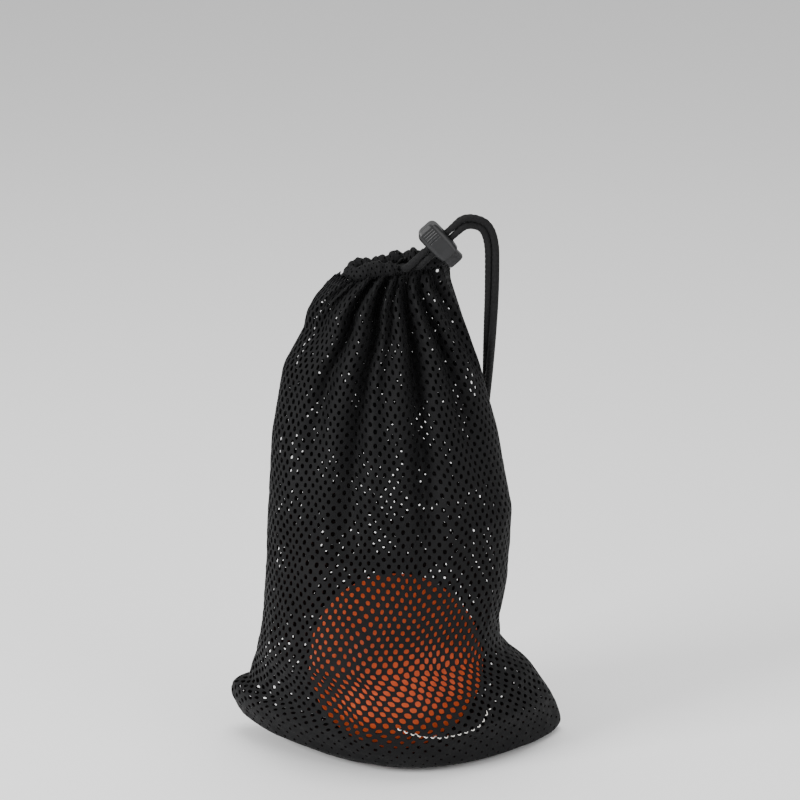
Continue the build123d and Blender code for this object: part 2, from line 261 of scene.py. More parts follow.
@dataclass(frozen=True)
class BallFinish:
    """Orange moulded ball skin: fine pebbled grain, slightly cloudy colour, scuffs, and an even painted glow
    that brightens it under the net's shade.
    """

    name: str
    deep: Colour = (0.78, 0.095, 0.020, 1)
    bright: Colour = (0.96, 0.165, 0.045, 1)
    painted_glow: Colour = (1.0, 0.13, 0.03, 1)
    painted_glow_strength: float = 0.10  # painted light: the skin glows evenly to stay bright under the net's shade

    def make(self) -> bpy.types.Material:
        """Build the material."""
        paint = Paint(self.name)
        solid = paint.place("Object")
        pebbles = paint.pebbles(solid, 900.0, 0.4)
        cloudy = paint.noise(solid, 45.0, 3.0)
        scuffs = paint.noise(solid, 420.0, 4.0, 0.7)
        share = paint.spread(cloudy * 0.8 + scuffs * 0.35, 0.35, 0.85, 0.0, 1.0)
        return paint.finish(
            Base_Color=paint.mix(share, self.deep, self.bright),
            Roughness=paint.spread(scuffs, 0.3, 0.7, 0.42, 0.62),
            Normal=paint.bump(1.0 - pebbles, 0.10 * MM, 0.5),
            # painted light: the skin glows, which brightens it under the net's shade
            Emission_Color=self.painted_glow,
            Emission_Strength=self.painted_glow_strength,
            Specular_IOR_Level=0.4,
        )


@dataclass(frozen=True)
class PaleArcFinish:
    """Off-white strand, matte and slightly uneven."""

    name: str
    base: Colour = (0.85, 0.84, 0.80, 1)
    soiled: Colour = (0.7, 0.68, 0.62, 1)

    def make(self) -> bpy.types.Material:
        """Build the material."""
        paint = Paint(self.name)
        uneven = paint.noise(paint.place("Object"), 500.0, 3.0)
        return paint.finish(
            Base_Color=paint.mix(paint.spread(uneven, 0.4, 0.7, 0.0, 1.0), self.base, self.soiled),
            Roughness=paint.spread(uneven, 0.3, 0.7, 0.45, 0.65),
            Normal=paint.bump(uneven, 0.05 * MM, 0.5),
        )


@dataclass(frozen=True)
class WireFinish:
    """Drawn spring wire with faint lengthwise streaks."""

    name: str

    def make(self) -> bpy.types.Material:
        """Build the material."""
        paint = Paint(self.name)
        streaks = paint.noise(paint.place("Object", (1, 1, 12)), 900.0, 3.0)
        return paint.finish(
            Base_Color=paint.mix(streaks, (0.36, 0.36, 0.36, 1), (0.6, 0.6, 0.6, 1)),
            Roughness=paint.spread(streaks, 0.3, 0.7, 0.25, 0.45),
            Metallic=1.0,
        )


@dataclass(frozen=True)
class FloorFinish:
    """Plain pale studio surface."""

    name: str = "studio_pale"
    grey: Colour = (0.93, 0.93, 0.93, 1)

    def make(self) -> bpy.types.Material:
        """Build the material."""
        return Paint(self.name).finish(Base_Color=self.grey, Roughness=0.7)


# ------------------------------------------------------------------ mesh helpers
def new_mesh(
    name: str, points: np.ndarray, faces: np.ndarray | list, uv: np.ndarray | None = None
) -> bpy.types.Object:
    """Make an object at the origin from points in metres.

    Args:
        name: The piece's name.
        points: Vertex positions.
        faces: Vertex numbers of each face.
        uv: Flat coordinates per vertex, if the finish follows the cloth.

    Returns:
        The linked object.
    """
    mesh = bpy.data.meshes.new(name)
    mesh.from_pydata([tuple(p) for p in points], [], [tuple(int(i) for i in f) for f in faces])
    if uv is not None:
        layer = mesh.uv_layers.new(name="cut")
        corner = np.empty(len(mesh.loops), dtype=np.int32)
        mesh.loops.foreach_get("vertex_index", corner)
        layer.data.foreach_set("uv", np.asarray(uv, dtype=np.float32)[corner].ravel())
    mesh.validate()
    made = bpy.data.objects.new(name, mesh)
    bpy.context.collection.objects.link(made)
    return made


def only(piece: bpy.types.Object) -> None:
    """Deselect everything, then select this piece and make it active."""
    if bpy.context.object and bpy.context.object.mode != "OBJECT":
        bpy.ops.object.mode_set(mode="OBJECT")
    bpy.ops.object.select_all(action="DESELECT")
    piece.select_set(True)
    bpy.context.view_layer.objects.active = piece


def apply(piece: bpy.types.Object, kind: str, **settings: Any) -> None:
    """Add a modifier, set it and apply it."""
    only(piece)
    added = piece.modifiers.new(kind.title(), kind)
    for key, value in settings.items():
        setattr(added, key, value)
    bpy.ops.object.modifier_apply(modifier=added.name)


def join(pieces: Sequence[bpy.types.Object], name: str) -> bpy.types.Object:
    """Join pieces into the first of them and name it."""
    bpy.ops.object.select_all(action="DESELECT")
    for piece in pieces:
        piece.select_set(True)
    bpy.context.view_layer.objects.active = pieces[0]
    bpy.ops.object.join()
    pieces[0].name = name
    return pieces[0]


def dress(
    piece: bpy.types.Object, material: bpy.types.Material, slot: str, body: str, angle: float = 60.0
) -> None:
    """Give a piece its material, body and smooth shading.

    Args:
        piece: The finished piece.
        material: Its only material.
        slot: Slot of the record that it takes its finish from; not used.
        body: The body that it rides on.
        angle: Edges sharper than this many degrees stay sharp.
    """
    piece.data.materials.clear()
    piece.data.materials.append(material)
    only(piece)
    bpy.ops.object.shade_smooth_by_angle(angle=math.radians(angle))
    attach(piece, body)


def surface(points: np.ndarray, faces: np.ndarray) -> float:
    """Area of four-cornered faces."""
    corner = points[faces]
    doubled = np.cross(corner[:, 2] - corner[:, 0], corner[:, 3] - corner[:, 1])
    return float(np.linalg.norm(doubled, axis=1).sum() / 2)


def distance_along(line: np.ndarray) -> np.ndarray:
    """Distance of each point from the line's start, measured along it."""
    return np.concatenate([[0], np.cumsum(np.linalg.norm(np.diff(line, axis=0), axis=1))])


def catmull(a: np.ndarray, b: np.ndarray, c: np.ndarray, d: np.ndarray, t: np.ndarray) -> np.ndarray:
    """Smooth curve from b to c at t, through a, b, c, d."""
    t = t[:, None]
    return 0.5 * (2 * b + (c - a) * t + (2 * a - 5 * b + 4 * c - d) * t**2 + (3 * b - a - 3 * c + d) * t**3)


def evenly(points: np.ndarray, gap: float) -> np.ndarray:
    """Points along a line, spaced evenly by about gap."""
    run = distance_along(points)
    wanted = np.linspace(0, run[-1], max(3, int(run[-1] / gap) + 1))
    return np.stack([np.interp(wanted, run, points[:, k]) for k in range(3)], 1)


def tube(
    name: str, line: np.ndarray, radius: float | np.ndarray, sides: int, relief: Callable | None = None
) -> bpy.types.Object:
    """A closed tube along a line, with an optional relief on its surface.

    Args:
        name: The piece's name.
        line: Points along the middle, in metres.
        radius: Radius in metres, one number or one for each point.
        sides: Corners of the section.
        relief: Gives the share of radius to add from turn and distance along, as arrays.

    Returns:
        The tube, with the turn and the distance along it as its flat map.
    """
    ahead = np.gradient(line, axis=0)
    ahead /= np.linalg.norm(ahead, axis=1, keepdims=True)
    side = np.cross(ahead[0], (0.31, 0.9, 0.29))  # any direction that the line doesn't start in
    untwisted = []
    for way in ahead:
        side = side - way * np.dot(side, way)
        side = side / np.linalg.norm(side)
        untwisted.append(side)
    across = np.array(untwisted)
    other = np.cross(ahead, across)
    run = distance_along(line)
    turn = 2 * np.pi * np.arange(sides) / sides
    far = np.broadcast_to(np.asarray(radius), (len(line),))[:, None] * np.ones((1, sides))
    if relief is not None:
        far = far * (1 + relief(turn[None, :], run[:, None]))
    ring = across[:, None, :] * np.cos(turn)[None, :, None] + other[:, None, :] * np.sin(turn)[None, :, None]
    points = (line[:, None, :] + ring * far[..., None]).reshape(-1, 3)
    faces = []
    for row in range(len(line) - 1):
        for k in range(sides):
            after = (k + 1) % sides
            here, above = row * sides, (row + 1) * sides
            faces.append((here + k, here + after, above + after, above + k))
    dome = 0.35  # how far the closed ends stand out, as a share of the radius
    first_tip = line[:1] - ahead[:1] * far[0, 0] * dome
    last_tip = line[-1:] + ahead[-1:] * far[-1, 0] * dome
    points = np.concatenate([points, first_tip, last_tip])
    last = (len(line) - 1) * sides
    for k in range(sides):
        after = (k + 1) % sides
        faces.append((after, k, len(points) - 2))
        faces.append((last + k, last + after, len(points) - 1))
    flat = np.stack([np.tile(turn / (2 * np.pi), len(line)), np.repeat(run, sides)], 1)
    flat = np.concatenate([flat, [[0, 0], [0, run[-1]]]])
    return new_mesh(name, points, faces, flat)


# ------------------------------------------------------------------ the bag's cloth
@dataclass(frozen=True)
class Level:
    """One level of the filled bag, in mm."""

    height: float
    left: float  # x of the left seam
    right: float  # x of the right seam
    front: float  # depth forwards
    back: float  # depth backwards
    power: float  # 2 is an ellipse, less is more pointed at the seams
    bow: float  # how far the seams are swept back
    slope: float = 0.0  # rise from left to right

    def ring(self, count: int) -> np.ndarray:
        """Points round the outline in mm, from the left seam along the front, evenly spaced by length."""
        half, middle = (self.right - self.left) / 2, (self.right + self.left) / 2
        turn = np.linspace(0, 2 * np.pi, 721)
        across = -np.sign(np.cos(turn)) * np.abs(np.cos(turn)) ** (2 / self.power)
        deep = -np.sign(np.sin(turn)) * np.abs(np.sin(turn)) ** (2 / self.power)
        x = middle + half * across
        y = self.bow * np.abs(across) ** 2 + np.where(deep < 0, self.front, self.back) * deep
        z = self.height + self.slope * x
        outline = np.stack([x, y, z], 1)
        rounds = []
        for part in (outline[:361], outline[360:]):
            run = distance_along(part)
            wanted = np.linspace(0, run[-1], count // 2 + 1)[:-1]
            rounds.append(np.stack([np.interp(wanted, run, part[:, k]) for k in range(3)], 1))
        return np.concatenate(rounds)


@dataclass(frozen=True)
class Fold:
    """A valley that starts at the gathered mouth and runs down the cloth."""

    place: float  # round the cut, mm from the left seam along the front
    wide: float  # mm of cloth
    end: float  # height at which it dies out, mm
    deep: float  # mm at its middle
    lean: float = 0.0  # mm of cloth that it wanders by on its way down


@dataclass
class MeshBag:
    """The body: two panels of net with staggered holes, gathered at the mouth and filled out by the ball."""

    round_cut: float = 340.0  # mm of cloth round the bag
    tall_cut: float = 252.0  # mm of cloth from the bottom seam to the hem
    columns: int = 100
    rows: int = 74
    cells_round: int = 68
    row_pitch: float = 2.75  # mm between staggered rows of holes
    hole: float = 1.42  # mm, half width of a hole where the net is tight over the ball
    slack_hole: tuple[float, float] = (0.69, 0.34)  # slack holes as a share of tight ones, front and back
    tight_left: float = 0.24  # how much wider the holes are along the left side, as a share of a tight hole
    bands: tuple[float, float, float] = (0.34, 0.33, 0.33)  # heights of the three sheets, in shares
    wander: tuple[float, float] = (1.1, 3.0)  # mm that the knitting wanders by, front and back
    cloth: float = 0.65  # mm
    ball_middle: Point = (0.0, 0.0, 45.7)
    ball_keep: float = 43.55
    mouth_height: float = 247.3
    mouth_run: float = 15.0
    mouth_end: float = 7.2
    mouth_tilt: float = math.radians(10.0)
    levels: tuple[Level, ...] = (
        Level(1.2, -44.8, 49.8, 27, 19, 1.9, 10),
        Level(2.2, -61.0, 75.0, 32, 24, 1.7, 17, -0.010),
        Level(6.1, -78.5, 82.5, 37, 30, 1.6, 22, -0.050),
        Level(12.5, -83.4, 83.4, 41, 35, 1.55, 23, -0.090),
        Level(20.4, -81.6, 80.6, 44, 39, 1.6, 21, -0.077),
        Level(27.4, -73.0, 77.0, 46, 42, 1.65, 16, -0.064),
        Level(43.0, -69.6, 66.0, 47, 44, 1.8, 10, -0.044),
        Level(56.0, -67.6, 51.0, 46.5, 45, 2.0, 4),
        Level(68.5, -65.2, 50.5, 45.5, 45, 2.0, 1),
        Level(91.5, -63.3, 54.2, 43, 43, 2.0, 0),
        Level(126.0, -61.8, 56.0, 39, 39, 2.0, 0),
        Level(165.7, -59.2, 48.5, 32, 32, 2.0, 0),
        Level(197.8, -53.5, 39.5, 24, 24, 2.0, 0),
        Level(218.9, -43.2, 31.0, 17.5, 17.5, 2.0, 0, 0.05),
        Level(227.5, -41.8, 27.8, 15.5, 15.5, 2.1, 0, 0.09),
        Level(236.0, -37.8, 24.6, 12.8, 12.8, 2.2, 0, 0.13),
        Level(243.4, -32.0, 23.4, 10.6, 10.6, 2.6, 0, 0.176),
        Level(248.0, -26.2, 22.8, 8.9, 8.9, 3.0, 0, 0.176),
    )
    keep_near: tuple[float, float] = (3.0, 1.2)  # mm that the study may move the cloth, low and at the mouth
    pulled_to: float = 116.0  # mm round the cut, where the cord leaves and the front's folds are drawn to
    pull: float = 0.42  # share of the way that the folds are drawn there at the mouth
    fold_top: float = 250.0  # mm, where the folds start
    fold_gain: float = 1.7
    room_heights: tuple[float, ...] = (130, 165, 198, 219, 236, 243, 248)
    room_depths: tuple[float, ...] = (32, 26, 19, 13, 8.5, 5, 1)  # mm of depth that a fold may take there
    crease: tuple[float, float, float] = (47.0, 110.5, 1.3)  # mm round the cut, height and depth
    folds: tuple[Fold, ...] = (
        Fold(12, 10, 212, 3.6, 2),
        Fold(24, 11, 206, 4.6, -2),
        Fold(37, 12, 150, 7.2, 5),
        Fold(50, 10, 208, 4.4, 2),
        Fold(64, 13, 96, 10.0, -2),
        Fold(77, 10, 205, 4.8, -3),
        Fold(89, 11, 164, 6.6, -5),
        Fold(101, 10, 210, 4.6, 0),
        Fold(112, 14, 84, 11.5, -8),
        Fold(125, 10, 207, 4.8, 4),
        Fold(137, 12, 146, 7.4, 3),
        Fold(149, 10, 209, 4.4, 0),
        Fold(160, 10, 190, 5.0, 3),
        Fold(182, 10, 208, 4.4, 2),
        Fold(194, 12, 150, 7.6, -3),
        Fold(206, 10, 207, 4.6, 2),
        Fold(218, 14, 96, 10.5, 3),
        Fold(231, 10, 205, 4.8, -2),
        Fold(243, 12, 158, 7.0, 4),
        Fold(255, 10, 208, 4.4, 0),
        Fold(267, 14, 92, 10.5, -4),
        Fold(280, 10, 206, 4.6, 2),
        Fold(292, 12, 148, 7.6, 2),
        Fold(305, 10, 207, 4.6, 0),
        Fold(318, 11, 185, 5.6, -2),
        Fold(330, 10, 210, 3.8, 0),
    )
    grid: np.ndarray = field(default_factory=lambda: np.zeros(0))
    cut_areas: dict[str, float] = field(default_factory=dict)

    def valley(self, place: np.ndarray, height: np.ndarray) -> np.ndarray:
        """How far inwards the folds push the cloth, in mm, at places round the cut and heights."""
        depth, envelope = np.zeros_like(place), np.zeros_like(place)
        for fold in self.folds:
            down = np.clip((self.fold_top - height) / (self.fold_top - fold.end), 0, 1)
            strength = np.clip(1 - down, 0, 1) ** 0.7 * fold.deep
            in_front = fold.place < self.round_cut / 2
            drawn = self.pull * (1 - down) ** 2 * (self.pulled_to - fold.place) * in_front
            off = place - fold.place - fold.lean * down - drawn
            off = (off + self.round_cut / 2) % self.round_cut - self.round_cut / 2
            bell = np.exp(-((off / (fold.wide * (0.40 + 0.24 * down))) ** 2))
            depth += strength * bell
            envelope += strength * np.exp(-((off / (fold.wide * 1.1)) ** 2)) * 0.38
        return depth - np.minimum(envelope, 3.4)

    def draped(self) -> np.ndarray:
        """Start shape of the cloth in mm, as rows of points from the bottom seam to the hem."""
        count = self.columns
        first = self.levels[0].ring(count)
        seam = first.copy()
        seam[:, 1] = self.levels[0].bow * (np.abs(first[:, 0]) / 50.0) ** 2
        seam[:, 2] = 1.0
        rings = [seam] + [level.ring(count) for level in self.levels]
        stack = np.stack(rings)
        run = np.concatenate(
            [np.zeros((1, count)), np.cumsum(np.linalg.norm(np.diff(stack, axis=0), axis=2), axis=0)]
        )
        grid = np.zeros((self.rows, count, 3))
        for column in range(count):
            wanted = np.linspace(0, run[-1, column], self.rows)
            for axis in range(3):
                grid[:, column, axis] = np.interp(wanted, run[:, column], stack[:, column, axis])
        outward = np.zeros_like(grid)
        along = np.roll(grid, -1, axis=1) - np.roll(grid, 1, axis=1)
        outward[..., 0], outward[..., 1] = along[..., 1], -along[..., 0]
        outward /= np.linalg.norm(outward, axis=2, keepdims=True) + 1e-9
        place = np.tile(np.arange(count) * self.round_cut / count, (self.rows, 1))
        push = self.valley(place, grid[..., 2])
        push *= np.clip((grid[..., 2] - 70) / 60, 0, 1)
        push *= self.fold_gain
        room = np.interp(grid[..., 2] - 0.17 * grid[..., 0], self.room_heights, self.room_depths)
        push = room * np.tanh(push / room)
        crease_place, crease_height, crease_deep = self.crease
        across = np.exp(-(((place - crease_place) / 30) ** 4))
        push += crease_deep * across * np.exp(-(((grid[..., 2] - crease_height) / 2.6) ** 2))
        return grid - outward * push[..., None]

    def index(self, row: int, column: int) -> int:
        """Vertex number in the coarse cloth, whose bottom row is shared by front and back."""
        count = self.columns
        column %= count
        if row == 0:
            return min(column, count - column)
        return count // 2 + 1 + (row - 1) * count + column

    def cut_places(self) -> list[Point]:
        """Places of the coarse cloth's points in the flat bag, both panels laid on each other, in metres."""
        count, wide = self.columns, self.round_cut / 2
        places = [(self.round_cut * c / count * MM, 0.0, 0.0) for c in range(count // 2 + 1)]
        for row in range(1, self.rows):
            for column in range(count):
                x = self.round_cut * column / count
                x = x if x <= wide else 2 * wide - x
                places.append((x * MM, 0.0, self.tall_cut * row / (self.rows - 1) * MM))
        return places

    def settle(self, frames: int = 34) -> None:
        """Let the cloth hang from its gathered hem round the ball, and keep the result as the grid.

        Args:
            frames: Length of the cloth simulation.
        """
        start = self.draped()
        self.grid = start
        count = self.columns
        points = [None] * (count // 2 + 1 + (self.rows - 1) * count)
        for row in range(self.rows):
            for column in range(count):
                points[self.index(row, column)] = start[row, column] * MM
        faces = []
        for row in range(self.rows - 1):
            for column in range(count):
                corners = [
                    self.index(row, column),
                    self.index(row, column + 1),
                    self.index(row + 1, column + 1),
                    self.index(row + 1, column),
                ]
                faces.append(list(dict.fromkeys(corners)))
        cloth = new_mesh("cloth_study", np.array(points), faces)
        cloth.shape_key_add(name="start")
        cut = cloth.shape_key_add(name="cut")
        for number, place in enumerate(self.cut_places()):
            cut.data[number].co = place
        held = cloth.vertex_groups.new(name="held")
        held.add([self.index(self.rows - 1, c) for c in range(count)], 1.0, "REPLACE")
        for row in range(self.rows - 1):
            soft = 0.05 + 0.5 * (row / (self.rows - 1)) ** 2
            held.add([self.index(row, c) for c in range(count)], soft, "REPLACE")
        helpers = self.helpers()
        only(cloth)
        weave = cloth.modifiers.new("Cloth", "CLOTH")
        rules = weave.settings
        rules.quality = 6
        rules.mass = 0.0012
        rules.tension_stiffness = rules.compression_stiffness = 6.0
        rules.shear_stiffness = 2.0
        rules.bending_stiffness = 0.02
        rules.tension_damping = rules.compression_damping = 6.0
        rules.shear_damping = 4.0
        rules.bending_damping = 0.5
        rules.air_damping = 3.0
        rules.vertex_group_mass = "held"
        rules.pin_stiffness = 0.6
        rules.rest_shape_key = cut
        weave.collision_settings.distance_min = 0.0006
        weave.collision_settings.use_self_collision = False
        weave.point_cache.frame_start = 1
        weave.point_cache.frame_end = frames
        scene = bpy.context.scene
        for number in range(1, frames + 1):
            scene.frame_set(number)
        settled = cloth.evaluated_get(bpy.context.evaluated_depsgraph_get())
        flat = np.empty(len(settled.data.vertices) * 3)
        settled.data.vertices.foreach_get("co", flat)
        flat = flat.reshape(-1, 3) / MM
        scene.frame_set(1)
        for helper in [cloth, *helpers]:
            bpy.data.objects.remove(helper, do_unlink=True)
        result = np.zeros_like(start)
        for row in range(self.rows):
            for column in range(count):
                result[row, column] = flat[self.index(row, column)]
        moved = result - start
        far = np.linalg.norm(moved, axis=2, keepdims=True)
        log.info("cloth moved by up to %.1f mm, mean %.1f mm", float(far.max()), float(far.mean()))
        height = np.clip((start[..., 2:3] - 70) / 110, 0, 1)
        limit = self.keep_near[0] + (self.keep_near[1] - self.keep_near[0]) * height
        result = start + moved * np.tanh(far / limit) * limit / np.maximum(far, 1e-6)
        self.grid = self.cleared(result)

    def helpers(self) -> list[bpy.types.Object]:
        """Ball and floor that the cloth study rests on, removed again afterwards."""
        bpy.ops.object.select_all(action="DESELECT")
        middle = [value * MM for value in self.ball_middle]
        radius = self.ball_keep * MM
        bpy.ops.mesh.primitive_uv_sphere_add(segments=64, ring_count=40, radius=radius, location=middle)
        made = [bpy.context.object]
        bpy.ops.mesh.primitive_plane_add(size=0.6, location=(0, 0, 0))
        made.append(bpy.context.object)
        for helper in made:
            helper.modifiers.new("Collision", "COLLISION")
            helper.collision.thickness_outer = 0.0005
            helper.collision.cloth_friction = 5
        return made

    def cleared(self, points: np.ndarray) -> np.ndarray:
        """Push points out of the ball and off the floor."""
        middle = np.array(self.ball_middle)
        away = points - middle
        far = np.linalg.norm(away, axis=-1, keepdims=True)
        points = middle + away * np.maximum(1.0, self.ball_keep / np.maximum(far, 1e-6))
        points[..., 2] = np.maximum(points[..., 2], 0.45)
        return points

    def lift(self, around: np.ndarray, up: np.ndarray) -> np.ndarray:
        """Place flat points of the net on the settled cloth.

        Args:
            around: Distances round the cut in mm.
            up: Distances from the bottom seam in mm.

        Returns:
            Points in mm.
        """
        column = around / self.round_cut * self.columns
        row = np.clip(up / self.tall_cut, 0, 1) * (self.rows - 1)
        base, low = np.floor(column).astype(int), np.floor(row).astype(int)
        low = np.clip(low, 0, self.rows - 2)
        over, rise = column - base, row - low
        lines = []
        for step in (-1, 0, 1, 2):
            line = np.clip(low + step, 0, self.rows - 1)
            corners = [self.grid[line, (base + k) % self.columns] for k in (-1, 0, 1, 2)]
            lines.append(catmull(*corners, over))
        return catmull(*lines, rise)

    def cells(self) -> tuple[np.ndarray, np.ndarray, np.ndarray, np.ndarray]:
        """The net laid flat: rounded holes in staggered rows, each in its own diamond of cloth.

        Returns:
            Rim points, hole points, numbers of each cell's rim points, and the middle of each cell, in mm.
        """
        wide, tall = self.round_cut / self.cells_round, self.row_pitch
        lines = int((self.tall_cut - tall) / tall)
        across, upward = np.meshgrid(np.arange(self.cells_round), np.arange(lines))
        middle = np.stack([(across + 0.5 * (upward % 2)) * wide, (upward + 1.0) * tall], -1).reshape(-1, 2)
        tips = np.array([(wide / 2, 0), (0, tall), (-wide / 2, 0), (0, -tall), (wide / 2, 0)])
        rim = np.array([tips[k] + (tips[k + 1] - tips[k]) * part / 3 for k in range(4) for part in range(3)])
        angle = 2 * np.pi * np.arange(12) / 12
        hole = np.stack([np.cos(angle) * self.hole, np.sin(angle) * self.hole * 1.06], 1)
        hole /= (np.abs(np.cos(angle)) ** 3.2 + np.abs(np.sin(angle)) ** 3.2)[:, None] ** (0.55 / 3.2)
        outer, inner = middle[:, None, :] + rim, middle[:, None, :] + hole
        near = 0.04  # mm, rim points closer than this are one
        keys = np.round(outer / near).astype(np.int64)
        keys[..., 0] %= int(round(self.round_cut / near))
        joined = (keys[..., 0] * 1000003 + keys[..., 1]).reshape(-1)
        _, first, number = np.unique(joined, return_index=True, return_inverse=True)
        return outer.reshape(-1, 2)[first], inner, number.reshape(-1, 12), middle

    def net(self) -> list[bpy.types.Object]:
        """Build the net in six sheets: three on the front, three on the back."""
        corners, inner, number, middle = self.cells()
        sheets = []
        half = self.round_cut / 2
        low_band, middle_band, _ = self.bands
        cuts = (0.0, self.tall_cut * low_band, self.tall_cut * (low_band + middle_band), self.tall_cut + 9)
        for side, (low, high) in (("front", (0.0, half)), ("back", (half, self.round_cut))):
            for part, (bottom, top) in zip(("low", "middle", "high"), zip(cuts, cuts[1:])):
                around = middle[:, 0] % self.round_cut
                chosen = (around >= low) & (around < high) & (middle[:, 1] >= bottom)
                chosen &= middle[:, 1] < top
                sheets.append(self.sheet(f"mesh_{side}_{part}", corners, inner[chosen], number[chosen]))
        return sheets

    def wandered(self, flat: np.ndarray) -> np.ndarray:
        """Let the knitting's rows and columns wander a little, as they do in a soft net."""
        x, y = flat[..., 0], flat[..., 1]
        turn = 2 * np.pi * x / self.round_cut
        side = np.sin(5 * turn + y / 17) + 0.7 * np.sin(11 * turn - y / 11 + 1.3)
        side = side + 0.5 * np.sin(17 * turn + y / 7.3)
        rise = np.sin(7 * turn - y / 13 + 0.6) + 0.7 * np.sin(13 * turn + y / 9.1)
        rise = rise + 0.5 * np.sin(19 * turn - y / 23)
        fade = np.clip(y / 12, 0, 1) * np.clip((self.tall_cut - y) / 12, 0, 1)
        edge = np.clip(np.abs(np.sin(turn)) * 5, 0, 1)
        wander = np.where(x % self.round_cut > self.round_cut / 2, self.wander[1], self.wander[0])
        return flat + np.stack([side, rise], -1) * (0.5 * wander * fade * edge)[..., None]

    def openness(self, around: np.ndarray, places: np.ndarray) -> np.ndarray:
        """How wide each hole is drawn, as a share of one over the ball.

        Args:
            around: Distances of the holes round the cut, in mm.
            places: Where the holes are on the hung cloth, in mm.

        Returns:
            Shares: 1 over the ball, less where the net is slack, least low down at the back.
        """
        off_ball = np.linalg.norm(places - np.array(self.ball_middle), axis=1)
        slack = np.clip((off_ball - self.ball_keep - 1.5) / 7.0, 0, 1)
        place = around % self.round_cut
        from_left = np.minimum(place, self.round_cut - place)
        behind = np.clip(np.minimum(place - self.round_cut / 2, self.round_cut - place) / 38, 0, 1)
        front, back = self.slack_hole
        least = front + (back - front) * behind + self.tight_left * np.exp(-((from_left / 26) ** 2))
        least = least * np.clip(0.45 + (places[:, 2] - 7) / 44, 0.45, 1)
        return 1 - (1 - least) * slack

    def sheet(
        self, name: str, corners: np.ndarray, inner: np.ndarray, number: np.ndarray
    ) -> bpy.types.Object:
        """Build one sheet of net from its cells.

        Args:
            name: The piece's name.
            corners: Flat corner points of the whole net.
            inner: Hole points of the chosen cells.
            number: Corner numbers of the chosen cells.

        Returns:
            The finished sheet, with its wall. The area that it was cut to is kept in cut_areas.
        """
        used, local = np.unique(number, return_inverse=True)
        local = local.reshape(-1, 12)
        flat = np.concatenate([corners[used], inner.reshape(-1, 2)])
        holes = len(used) + np.arange(len(inner) * 12).reshape(-1, 12)
        after = (np.arange(12) + 1) % 12
        faces = np.stack([local, local[:, after], holes[:, after], holes], -1).reshape(-1, 4)
        centre = inner.mean(axis=1, keepdims=True)
        size = self.openness(centre[:, 0, 0], self.lift(centre[:, 0, 0], centre[:, 0, 1]))
        flat[len(used):] = (centre + (inner - centre) * size[:, None, None]).reshape(-1, 2)
        flat = self.wandered(flat)
        points = self.lift(flat[:, 0], flat[:, 1])
        shape = inner[0] - centre[0]
        hole = abs(np.sum(shape[:, 0] * shape[after, 1] - shape[after, 0] * shape[:, 1])) / 2
        cell = self.round_cut / self.cells_round * self.row_pitch
        cut, hung = float(np.sum(cell - hole * size**2)), surface(points, faces)
        self.cut_areas[name] = cut * MM**2
        log.info("%s: cut %.0f mm2 without its holes, hangs with %.2f of it", name, cut, hung / cut)
        made = new_mesh(name, points * MM, faces, flat * MM)
        apply(made, "SOLIDIFY", thickness=self.cloth * MM, offset=0.0)
        return made

    def make(self, knit: bpy.types.Material) -> list[bpy.types.Object]:
        self.settle()
        sheets = self.net()
        for number, piece in enumerate(sheets):
            dress(piece, knit, "mesh", "bag")
            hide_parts("front_panel" if number < 3 else "back_panel")
            log.info("%s: %d faces", piece.name, len(piece.data.polygons))
        return sheets

    def declare(self, sheets: Sequence[bpy.types.Object], hems: Sequence[bpy.types.Object]) -> None:
        for number, piece in enumerate(sheets):
            share = self.bands[number % 3]
            on_it = [hems[number // 3]] if number % 3 == 2 else []


@dataclass
class HemNet(MeshBag):
    """Net cut as the bag's is, but laid by the hem over its cord."""

    laid: Callable[[np.ndarray, np.ndarray], np.ndarray] | None = None

    def lift(self, around: np.ndarray, up: np.ndarray) -> np.ndarray:
        """Place flat points of the hem's net."""
        return self.laid(around, up)


